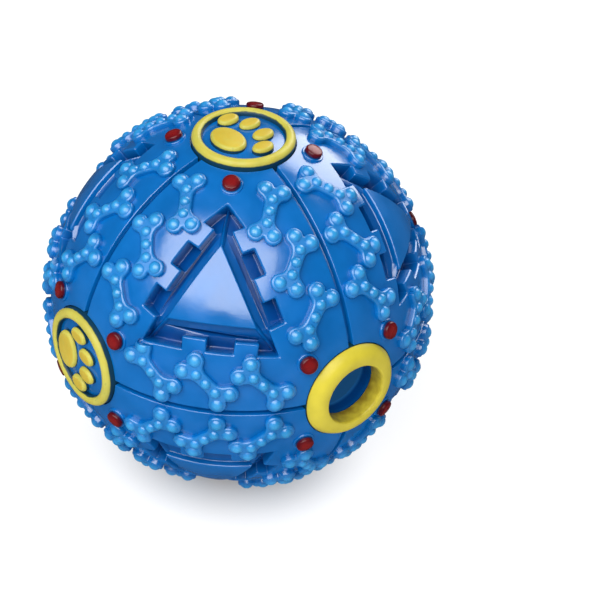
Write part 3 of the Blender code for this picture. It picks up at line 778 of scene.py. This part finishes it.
clip_inner = TUBE_RADIUS + CLIP_GAP
clip_outer = clip_inner + CLIP_WALL
clip_high = tube_high.z - CLIP_GAP
clip_low = clip_high - CLIP_HEIGHT
clip = turned("clip", band(clip_inner, clip_outer, clip_low, clip_high, CLIP_EDGE), TUBE_SIDES)
carve(clip, bar("way", (-CLIP_OPENING, -clip_outer, clip_low - OVER_TOP),
                (CLIP_OPENING, -CLIP_WALL, clip_high + OVER_TOP)))
carve(clip, bar("post", (-CLIP_POST, clip_inner + CLIP_WALL / 2, clip_low + CLIP_EDGE / 2),
                (CLIP_POST, BALL_RADIUS, clip_high - CLIP_EDGE / 2), CLIP_EDGE), "UNION")
clip.data.transform(Matrix.Translation(tube_axis))
bpy.ops.object.select_all(action="DESELECT")
bpy.ops.mesh.primitive_uv_sphere_add(segments=CHAMBER_SEGMENTS, ring_count=CHAMBER_SEGMENTS // 2,
                                     radius=CHAMBER_RADIUS + CLIP_ROOT)
carve(clip, newest("reach"), "INTERSECT")
carve(rear_octant, clip, "UNION")
for piece, name, node in ((octant, "front_half", "shell_front"), (rear_octant, "rear_half", "shell_rear")):
    piece.name = name
    piece.data.name = name
    mirror = piece.modifiers.new("four eighths", "MIRROR")
    mirror.use_axis = (True, False, True)
    mirror.use_bisect_axis = (True, False, True)
    mirror.use_bisect_flip_axis = (True, False, False)
    mirror.bisect_threshold = 1e-6
    mirror.merge_threshold = 1e-5
    apply_steps(piece)
    smooth(piece)
    weighted = piece.modifiers.new("even shading", "WEIGHTED_NORMAL")
    weighted.keep_sharp = True
    apply_steps(piece)
    shade_as_ball(piece)
    dress(piece, blue_vinyl, node)

# Squeaker tube. A dark plastic tube snapped into the clips, closed at each end by a white plug
# with a flange and an air hole.
TUBE_BORE = 0.0083
TUBE_EDGE = 0.0003
CAP_RADIUS = 0.0111
CAP_EDGE = 0.0004
PLUG_RADIUS = 0.0080
PLUG_LENGTH = 0.0030
AIR_HOLE = 0.0020
STREAK_SHADE = 0.82


def moulded(name, colour, roughness, streaks=(1.0, 1.0, 1.0), metallic=0.0):
    """Satin plastic or turned metal, with faint streaks that may run along or round the tube."""
    surface, tree, shader, place = new_surface(name)
    stretch = tree.nodes.new("ShaderNodeMapping")
    stretch.inputs["Scale"].default_value = streaks
    tree.links.new(place, stretch.inputs["Vector"])
    flow = noise(tree, stretch.outputs["Vector"], scale=180.0, detail=4.0)
    tone = toned(tree, flow, (0.3, 0.7), ([STREAK_SHADE * part for part in colour], colour))
    tree.links.new(tone, shader.inputs["Base Color"])
    gloss = ranged(tree, flow, (0.0, 1.0), (roughness - 0.08, roughness + 0.08))
    tree.links.new(gloss, shader.inputs["Roughness"])
    ripple(tree, shader, flow, strength=0.12, distance=0.0002)
    shader.inputs["Metallic"].default_value = metallic
    return surface


def set_in_tube(piece):
    """Move a piece that was made about Z to the axis of the tube, and shade it."""
    piece.data.transform(Matrix.Translation(tube_axis))
    smooth(piece)
    return piece


tube_profile = band(TUBE_BORE, TUBE_RADIUS, tube_low.z, tube_high.z, TUBE_EDGE)
tube = turned("squeaker_tube", tube_profile, TUBE_SIDES)
tube_plastic = moulded("tube_plastic", (0.012, 0.042, 0.125), roughness=0.45, streaks=(1.0, 1.0, 0.1))
dress(set_in_tube(tube), tube_plastic, "sounder_tube")

white_plastic = moulded("white_plastic", (0.76, 0.76, 0.73), roughness=0.42)
cap_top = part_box("sounder_cap_top")[1].z
cap_seat = tube_high.z + CLIP_GAP
plug_end = tube_high.z - PLUG_LENGTH
cap_profile = [(AIR_HOLE, cap_top - CAP_EDGE), (AIR_HOLE + CAP_EDGE, cap_top)]
cap_profile += arc(CAP_RADIUS - CAP_EDGE, cap_top - CAP_EDGE, CAP_EDGE, 90, 0, 3)
cap_profile += arc(CAP_RADIUS - CAP_EDGE, cap_seat + CAP_EDGE, CAP_EDGE, 0, -90, 3)
cap_profile += [(PLUG_RADIUS, cap_seat)]
cap_profile += arc(PLUG_RADIUS - CAP_EDGE, plug_end + CAP_EDGE, CAP_EDGE, 0, -90, 3)
cap_profile += [(AIR_HOLE, plug_end)]
for place, side in (("top", 1), ("bottom", -1)):
    cap = turned("plug_" + place, [(radius, side * height) for radius, height in cap_profile], TUBE_SIDES)
    dress(set_in_tube(cap), white_plastic, "sounder_cap_" + place)

# Reed carriage. A white plastic slider with a steel ring on its foot for weight, an air channel
# down its middle, and a flat with a window that the reed lies over.
CARRIAGE_RADIUS = 0.0079
CARRIAGE_NECK = 0.0052
CARRIAGE_FOOT = 0.0063
CARRIAGE_EDGE = 0.0004
REED_FLAT = 0.0036
CHANNEL_RADIUS = 0.0030
CHANNEL_DEPTH = 0.0155
CHANNEL_SIDES = 32
WINDOW_HALF = 0.0023
WINDOW_GAP = 0.0004
carriage_low, carriage_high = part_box("reed_carriage")
reed_low, reed_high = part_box("sounder_reed")
clamp_low, clamp_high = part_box("reed_clamp")
weight_low, weight_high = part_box("reed_weight")
shoulder = carriage_low.z + CARRIAGE_FOOT
wide = CARRIAGE_RADIUS - CARRIAGE_EDGE
narrow = CARRIAGE_NECK - CARRIAGE_EDGE
carriage_profile = [(0.0, carriage_high.z)]
carriage_profile += arc(wide, carriage_high.z - CARRIAGE_EDGE, CARRIAGE_EDGE, 90, 0, 3)
carriage_profile += arc(wide, shoulder + CARRIAGE_EDGE, CARRIAGE_EDGE, 0, -90, 3)
carriage_profile += [(CARRIAGE_NECK, shoulder)]
carriage_profile += arc(narrow, carriage_low.z + CARRIAGE_EDGE, CARRIAGE_EDGE, 0, -90, 3)
carriage_profile += [(0.0, carriage_low.z)]
carriage = turned("carriage", carriage_profile, TUBE_SIDES, closed=False)
carve(carriage, bar("flat", (-TUBE_RADIUS, -TUBE_RADIUS, reed_low.z - 2 * WINDOW_GAP),
                    (TUBE_RADIUS, -REED_FLAT, carriage_high.z + OVER_TOP)))
carve(carriage, bar("window", (-WINDOW_HALF, -TUBE_RADIUS, reed_low.z - WINDOW_GAP),
                    (WINDOW_HALF, 0.0, clamp_low.z - WINDOW_GAP)))
channel_low = carriage_high.z - CHANNEL_DEPTH
channel_high = carriage_high.z + OVER_TOP
channel_profile = [(0.0, channel_high), (CHANNEL_RADIUS, channel_high), (CHANNEL_RADIUS, channel_low),
                   (0.0, channel_low)]
carve(carriage, turned("channel", channel_profile, CHANNEL_SIDES, closed=False))
dress(set_in_tube(carriage), white_plastic, "reed_carriage", "slider")

WEIGHT_RADIUS = 0.0075
WEIGHT_BORE = 0.0055
weight_profile = band(WEIGHT_BORE, WEIGHT_RADIUS, weight_low.z, weight_high.z, TUBE_EDGE)
weight = turned("weight", weight_profile, TUBE_SIDES)
steel = moulded("turned_steel", (0.56, 0.56, 0.58), roughness=0.30, streaks=(1.0, 1.0, 14.0), metallic=1.0)
dress(set_in_tube(weight), steel, "reed_weight", "slider")

# Reed and clamp. A thin plastic strip with rounded corners that beats over the window, and the
# staple that holds its upper end on the flat.
REED_CORNER = 0.0009
CLAMP_GAP = 0.0022
CLAMP_EDGE = 0.0002
EDGE_SLACK = 1e-5
reed = bar("reed", reed_low, reed_high)
bpy.ops.object.mode_set(mode="EDIT")
bpy.ops.mesh.select_all(action="DESELECT")
bpy.ops.object.mode_set(mode="OBJECT")
for edge in reed.data.edges:
    ends = [reed.data.vertices[i].co for i in edge.vertices]
    edge.select = abs(ends[0].y - ends[1].y) > EDGE_SLACK
bpy.ops.object.mode_set(mode="EDIT")
bpy.ops.mesh.bevel(offset=REED_CORNER, segments=4, affect="EDGES")
bpy.ops.object.mode_set(mode="OBJECT")
smooth(reed)
reed_film = moulded("reed_film", (0.80, 0.78, 0.70), roughness=0.48, streaks=(1.0, 1.0, 0.08))
dress(reed, reed_film, "sounder_reed", "reed")

clamp_bar = tube_axis.y - REED_FLAT
staple = bar("staple", clamp_low, clamp_high, CLAMP_EDGE)
carve(staple, bar("gap", (-CLAMP_GAP, reed_low.y - CLIP_GAP, clamp_low.z - OVER_TOP),
                  (CLAMP_GAP, clamp_bar, clamp_high.z + OVER_TOP)))
smooth(staple)
dress(staple, white_plastic, "reed_clamp", "slider")

# Paw badges. Blue vinyl discs set into the seats at five poles; a ring and a paw print of one
# pad and four toes stand up from each, with yellow paint rolled over their tops.
RING_INNER = 0.0120
RING_TOP = 0.0573
RING_INNER_ROUND = 0.0014
RING_OUTER_ROUND = 0.0016
BADGE_BACK = 0.0527
PLATE_TOP = 0.0537
PAD_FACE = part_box("paw_badge_top")[1].z
PAD_ROUND = 0.0010
PAD_ROOT = 0.0005
PAD_SIDES = 40
PAD_INSETS = (0.0004, 0.0004)
FACING_UP = 0.999
MAIN_PAD = (-0.0054, 0.0, 0.0092, 0.0126)
INNER_TOE = (0.0045, 0.0033, 0.0068, 0.0048)
OUTER_TOE = (0.0006, 0.0086, 0.0068, 0.0048)
PADS = [MAIN_PAD]
for x, y, length, width in (INNER_TOE, OUTER_TOE):
    PADS += [(x, y, length, width), (x, -y, length, width)]
PAINT_STOPS = (0.52, 0.62, 0.72, 0.98)
PAINT_WANDER = 0.3


def painted(name, fullest, paint, edge, shaded_bare, roughness):
    """Vinyl with paint rolled on where the piece's own paint value is high, and deepest at 1. Where there
    is no paint the colour is a dark painted shade, and the edge colour between is partly the paint's own
    fringe and partly painted shade.
    """
    surface, tree, shader, place = new_surface(name)
    cover = tree.nodes.new("ShaderNodeAttribute")
    cover.attribute_name = "paint"
    wander = noise(tree, place, scale=500.0, detail=2.0)
    drift = tree.nodes.new("ShaderNodeMath")
    drift.operation = "MULTIPLY_ADD"
    drift.inputs[1].default_value = PAINT_WANDER
    tree.links.new(wander, drift.inputs[0])
    tree.links.new(cover.outputs["Fac"], drift.inputs[2])
    tone = toned(tree, drift.outputs["Value"], PAINT_STOPS, (shaded_bare, edge, paint, fullest))
    cloud = noise(tree, place, scale=140.0, detail=3.0)
    blotch = blotched(tree, tone, cloud, dark=0.9, light=1.06)
    tree.links.new(blotch, shader.inputs["Base Color"])
    gloss = ranged(tree, cloud, (0.0, 1.0), (roughness - 0.06, roughness + 0.08))
    tree.links.new(gloss, shader.inputs["Roughness"])
    ripple(tree, shader, wander, strength=0.15, distance=0.0002)
    shader.inputs["Specular IOR Level"].default_value = 0.35
    return surface


def roll_paint(piece, rule):
    """Set the paint value of each point of a piece by a rule on its place."""
    cover = piece.data.attributes.new("paint", "FLOAT", "POINT")
    for point in piece.data.vertices:
        cover.data[point.index].value = rule(point.co)


def paw_pads(name, low, high, margin, edge):
    """One pad and four toes of a paw print that points along +X."""
    pads = []
    for x, y, length, width in PADS:
        angles = [math.tau * step / PAD_SIDES for step in range(PAD_SIDES)]
        loop = [(x + (length / 2 + margin) * math.cos(angle), y + (width / 2 + margin) * math.sin(angle))
                for angle in angles]
        pad = plate(name, loop, low, high, edge, 4)
        for inset in PAD_INSETS if edge else ():
            bpy.ops.object.mode_set(mode="EDIT")
            bpy.ops.mesh.select_all(action="DESELECT")
            bpy.ops.object.mode_set(mode="OBJECT")
            for face in pad.data.polygons:
                face.select = face.normal.z > FACING_UP and len(face.vertices) == PAD_SIDES
            bpy.ops.object.mode_set(mode="EDIT")
            bpy.ops.mesh.inset(thickness=inset)
            bpy.ops.object.mode_set(mode="OBJECT")
        face_outwards(pad)
        pads.append(pad)
    return merge_pieces(pads)


ring_profile = [(0.0, PLATE_TOP), (RING_INNER, PLATE_TOP)]
ring_profile += arc(RING_INNER + RING_INNER_ROUND, RING_TOP - RING_INNER_ROUND, RING_INNER_ROUND, 180, 90)
ring_profile += arc(SEAT_RADIUS - RING_OUTER_ROUND, RING_TOP - RING_OUTER_ROUND, RING_OUTER_ROUND, 90, 0)
ring_profile += [(SEAT_RADIUS, BADGE_BACK), (0.0, BADGE_BACK)]
badge = turned("badge", ring_profile, SEAT_SIDES, closed=False)
carve(badge, paw_pads("pads", BADGE_BACK + PAD_ROOT, PAD_FACE, 0.0, PAD_ROUND), "UNION")

# Paint lies on the tops, and runs down the outer shoulder of the ring to just above the ball. Below the
# paint, the sides of the ring and the pads are coloured dark: painted shade.
OUTER_PAINT = (0.0550, 0.0560)
INNER_PAINT = (0.0560, 0.0570)
PAD_PAINT = (0.0563, 0.0571)
THIN_PAINT = 0.62
THICKENING = 1.0
pick(badge)
bpy.ops.object.mode_set(mode="EDIT")
for height in OUTER_PAINT + INNER_PAINT + PAD_PAINT:
    bpy.ops.mesh.select_all(action="SELECT")
    bpy.ops.mesh.bisect(plane_co=(0, 0, height), plane_no=(0, 0, 1), threshold=1e-6)
bpy.ops.object.mode_set(mode="OBJECT")


def badge_paint(place):
    """Share of paint at a place on a badge that lies flat."""
    around = math.hypot(place.x, place.y)
    low, high = PAD_PAINT
    full = THIN_PAINT
    if around > (RING_INNER + SEAT_RADIUS) / 2:
        low, high = OUTER_PAINT
    elif around > RING_INNER - FIT_GAP:
        low, high = INNER_PAINT
    elif place.z > PAD_FACE - FIT_GAP:
        for x, y, length, width in PADS:
            inside = 1.0 - math.hypot((place.x - x) / length, (place.y - y) / width) * 2
            full = max(full, THIN_PAINT + THICKENING * inside)
    return min(1.0, full * max(0.0, min(1.0, (place.z - low) / (high - low))))


roll_paint(badge, badge_paint)
smooth(badge)

# Badge fields. Blue vinyl discs with the curve of the ball, laid inside each ring, with windows
# that the pads of the paw print stand up through.
FIELD_RISE = 0.0003
FIELD_STEPS = 8
field_edge = RING_INNER - FIT_GAP
field_profile = []
for step in range(FIELD_STEPS + 1):
    radius = field_edge * step / FIELD_STEPS
    field_profile.append((radius, math.sqrt((BALL_RADIUS + FIELD_RISE) ** 2 - radius ** 2)))
field_profile += [(field_edge, PLATE_TOP + FIT_GAP), (0.0, PLATE_TOP + FIT_GAP)]
field = turned("field", field_profile, SEAT_SIDES, closed=False)
carve(field, paw_pads("windows", BADGE_BACK, PAD_FACE + OVER_TOP, FIT_GAP, 0.0))
smooth(field)

# The bare and edge colours of the badge are dark navy and dark olive: painted shade on the side walls.
badge_yellow = painted("badge_yellow", fullest=(0.57, 0.42, 0.038), paint=(0.53, 0.50, 0.085),
                       edge=(0.11, 0.13, 0.03), shaded_bare=(0.003, 0.04, 0.08), roughness=0.40)
for place, pole, paw_up in (("top", TOP, -LEFT), ("bottom", -TOP, -LEFT), ("left", LEFT, FRONT),
                            ("right", -LEFT, FRONT), ("rear", REAR, TOP)):
    for model, surface, made, node, slot in ((badge, badge_yellow, "badge_", "paw_badge_", "yellow_vinyl"),
                                             (field, blue_vinyl, "field_", "badge_field_", "blue_vinyl")):
        piece = placed(made + place, model.data.copy())
        stand(piece, pole, paw_up)
        dress(piece, surface, node + place)
bpy.data.objects.remove(badge)
bpy.data.objects.remove(field)

# Feed collar. A yellow vinyl cone with a full curve, pressed into the front seat. Its bore is the ball's
# one opening, and the yellow darkens to amber down it: painted shade.
COLLAR_EDGE = 0.0546
COLLAR_ROUND = 0.0007
COLLAR_BULGE = (0.0137, 0.0578)
COLLAR_STEPS = 12
COLLAR_SIDES = 128
COLLAR_FOOT = 0.0004
COLLAR_LINE = 0.0003
BORE_SHADING = (0.78, 0.58)
collar_rim = -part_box("feed_ring")[0].y
collar_profile = [(MOUTH_BORE, BADGE_BACK)]
collar_profile += arc(MOUTH_BORE + COLLAR_ROUND, collar_rim - COLLAR_ROUND, COLLAR_ROUND, 180, 90)
slope_start = Vector((MOUTH_BORE + 2 * COLLAR_ROUND, collar_rim))
slope_stop = Vector((SEAT_RADIUS, COLLAR_EDGE))
bulge = Vector(COLLAR_BULGE)
for step in range(COLLAR_STEPS + 1):
    share = step / COLLAR_STEPS
    collar_profile.append(tuple(slope_start.lerp(bulge, share).lerp(bulge.lerp(slope_stop, share), share)))
collar_profile += [(SEAT_RADIUS, COLLAR_EDGE - COLLAR_FOOT), (SEAT_RADIUS, BADGE_BACK)]
collar = turned("mouth_collar", collar_profile, COLLAR_SIDES)


def collar_paint(place):
    """Share of paint on the collar: full on its slope, lower down the bore for a painted shade there, none
    at the foot.
    """
    around = math.hypot(place.x, place.y)
    if around > (MOUTH_BORE + SEAT_RADIUS) / 2:
        return min(1.0, max(0.0, (place.z - COLLAR_EDGE + COLLAR_LINE) / COLLAR_FOOT))
    if around > MOUTH_BORE + COLLAR_ROUND / 2:
        return 1.0
    return BORE_SHADING[0] if place.z > collar_rim - 2 * COLLAR_ROUND else BORE_SHADING[1]


roll_paint(collar, collar_paint)
smooth(collar)
stand(collar, FRONT, TOP)
# The collar's middle paint colour is the amber painted shade down the bore; its bare colour is the dark
# painted shade at its foot.
collar_yellow = painted("collar_yellow", fullest=(0.62, 0.52, 0.040), paint=(0.27, 0.18, 0.012),
                        edge=(0.11, 0.12, 0.02), shaded_bare=(0.003, 0.05, 0.07), roughness=0.37)
dress(collar, collar_yellow, "feed_ring")

# Studs. Small red vinyl buttons with a low crown, pushed into pockets beside the six poles, four to a pole.
# The red is rolled over their tops and stops short of the ball; it is bright in the middle of the top and
# dark towards the rim, a painted highlight and painted shade.
STUD_PROUD = 0.0022
STUD_ROUND = 0.0006
STUD_CROWN = 0.0002
STUD_BANDS = (0.0011, 0.0004)
STUD_PAINT_LOW = 0.0002
STUD_PAINT_BAND = 0.0006
STUD_RIM_SHADING = 0.4
stud_top = BALL_RADIUS + STUD_PROUD
stud_foot = BALL_RADIUS - STUD_DEPTH + FIT_GAP
stud_profile = [(0.0, stud_top), (STUD_RADIUS / 3, stud_top - STUD_CROWN / 5)]
stud_profile += arc(STUD_RADIUS - STUD_ROUND, stud_top - STUD_CROWN - STUD_ROUND, STUD_ROUND, 80, 0, 5)
stud_profile += [(STUD_RADIUS, BALL_RADIUS + height) for height in STUD_BANDS]
stud_profile += [(STUD_RADIUS, stud_foot), (0.0, stud_foot)]
stud = turned("stud", stud_profile, STUD_SIDES, closed=False)


def stud_paint(place):
    """Share of paint at a place on a stud: highest in the middle of its top for a painted highlight, lower
    towards the rim for painted shade, none at its foot.
    """
    up = max(0.0, min(1.0, (place.z - BALL_RADIUS - STUD_PAINT_LOW) / STUD_PAINT_BAND))
    return up * (1.0 - STUD_RIM_SHADING * math.hypot(place.x, place.y) / STUD_RADIUS)


roll_paint(stud, stud_paint)
smooth(stud)
# The fullest red is the painted highlight in the middle of each top, the paint red the painted shade
# towards the rim.
stud_red = painted("stud_red", fullest=(0.20, 0.006, 0.007), paint=(0.075, 0.002, 0.007),
                   edge=(0.05, 0.004, 0.03), shaded_bare=(0.004, 0.03, 0.12), roughness=0.26)
signs = [Vector((x, y, z)) for x in (-1, 1) for y in (-1, 1) for z in (-1, 1)]
for name, pole in (("top", TOP), ("bottom", -TOP), ("left", LEFT), ("right", -LEFT),
                   ("front", FRONT), ("rear", REAR)):
    eighths = [sign.normalized() for sign in signs if sign.dot(pole) > 0]
    for number, eighth in enumerate(eighths, 1):
        piece = placed(f"stud_{name}_{number}", stud.data.copy())
        stand(piece, stud_direction(pole, eighth), pole)
        dress(piece, stud_red, f"pip_{name}_{number}")
bpy.data.objects.remove(stud)

# Stage. A plain white floor that glows but for a spot under the ball, where the weaker glow is a painted
# shadow of the ball, a white backdrop that gives no light, two soft boxes, and the camera.
FLOOR_SIZE = 6.0
SHADOW_SPOT_EDGE = (0.012, 0.046)
SHADOW_SPOT_GLOW = (0.20, 0.70)
FAR_EDGE = (0.45, 1.3)
FAR_GLOW = (0.0, 0.26)
BACKDROP_RADIUS = 2.9
WHITE = (1.0, 1.0, 1.0, 1.0)
bpy.ops.object.select_all(action="DESELECT")
bpy.ops.mesh.primitive_plane_add(size=FLOOR_SIZE, location=(0, 0, cad_low.z))
floor = newest("floor")
bpy.ops.object.transform_apply(location=True, rotation=False, scale=False)
paper, paper_tree, sheet, spot = new_surface("white_paper")
sheet.inputs["Base Color"].default_value = (0.40, 0.40, 0.40, 1.0)
sheet.inputs["Roughness"].default_value = 0.9
sheet.inputs["Specular IOR Level"].default_value = 0.0
sheet.inputs["Emission Color"].default_value = WHITE
flatten = paper_tree.nodes.new("ShaderNodeVectorMath")
flatten.operation = "MULTIPLY"
flatten.inputs[1].default_value = (1.0, 1.0, 0.0)
paper_tree.links.new(spot, flatten.inputs[0])
away = length_of(paper_tree, flatten.outputs["Vector"])
# Painted shadow: the floor glows less in the spot under the ball.
painted_shadow = ranged(paper_tree, away, SHADOW_SPOT_EDGE, SHADOW_SPOT_GLOW)
painted_shadow.node.interpolation_type = "SMOOTHSTEP"
fade = ranged(paper_tree, away, FAR_EDGE, FAR_GLOW)
paper_tree.links.new(summed(paper_tree, painted_shadow, fade), sheet.inputs["Emission Strength"])
floor.data.materials.append(paper)
floor.visible_glossy = False
floor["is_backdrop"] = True

bpy.ops.object.select_all(action="DESELECT")
bpy.ops.mesh.primitive_uv_sphere_add(segments=48, ring_count=24, radius=BACKDROP_RADIUS)
backdrop = newest("backdrop")
cloth = bpy.data.materials.new("white_backdrop")
cloth.use_nodes = True
wall = cloth.node_tree.nodes["Principled BSDF"]
wall.inputs["Base Color"].default_value = (*BLACK, 1.0)
wall.inputs["Specular IOR Level"].default_value = 0.0
wall.inputs["Emission Color"].default_value = WHITE
wall.inputs["Emission Strength"].default_value = 0.96
backdrop.data.materials.append(cloth)
backdrop.visible_diffuse = False
backdrop.visible_glossy = False
backdrop.visible_transmission = False
backdrop.visible_shadow = False
backdrop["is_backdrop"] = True

scene = bpy.context.scene
world = bpy.data.worlds.new("studio")
scene.world = world
world.use_nodes = True
sky = world.node_tree.nodes["Background"]
sky.inputs["Color"].default_value = WHITE
sky.inputs["Strength"].default_value = 0.06


def soft_box(name, place, width, height, power):
    """An oblong area light aimed at the ball."""
    lamp = bpy.data.lights.new(name, "AREA")
    lamp.shape = "RECTANGLE"
    lamp.size = width
    lamp.size_y = height
    lamp.energy = power
    holder = placed(name, lamp)
    holder.location = place
    holder.rotation_euler = (-Vector(place)).to_track_quat("-Z", "Y").to_euler()


soft_box("window", place=(-0.506, -0.305, 0.705), width=1.20, height=0.80, power=14.0)
soft_box("far_right", place=(0.74, 0.26, 0.53), width=0.60, height=0.60, power=6.5)

VIEW_TURN = math.radians(-36.45)
VIEW_RISE = math.radians(37.11)
VIEW_ROLL = math.radians(1.78)
VIEW_DISTANCE = 0.7084
back = Vector((math.sin(VIEW_TURN) * math.cos(VIEW_RISE), -math.cos(VIEW_TURN) * math.cos(VIEW_RISE),
               math.sin(VIEW_RISE)))
level = Vector((math.cos(VIEW_TURN), math.sin(VIEW_TURN), 0.0))
upright = back.cross(level)
side = level * math.cos(VIEW_ROLL) + upright * math.sin(VIEW_ROLL)
camera = placed("camera", bpy.data.cameras.new("camera"))
camera.matrix_world = (Matrix.Translation(back * VIEW_DISTANCE)
                       @ Matrix((side, back.cross(side), back)).transposed().to_4x4())
camera.data.sensor_width = 36.0
camera.data.lens = 141.0
camera.data.shift_x = 0.1020
camera.data.shift_y = -0.0122
camera.data.clip_start = 0.01
scene.camera = camera
scene.view_settings.view_transform = "Standard"

low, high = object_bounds()
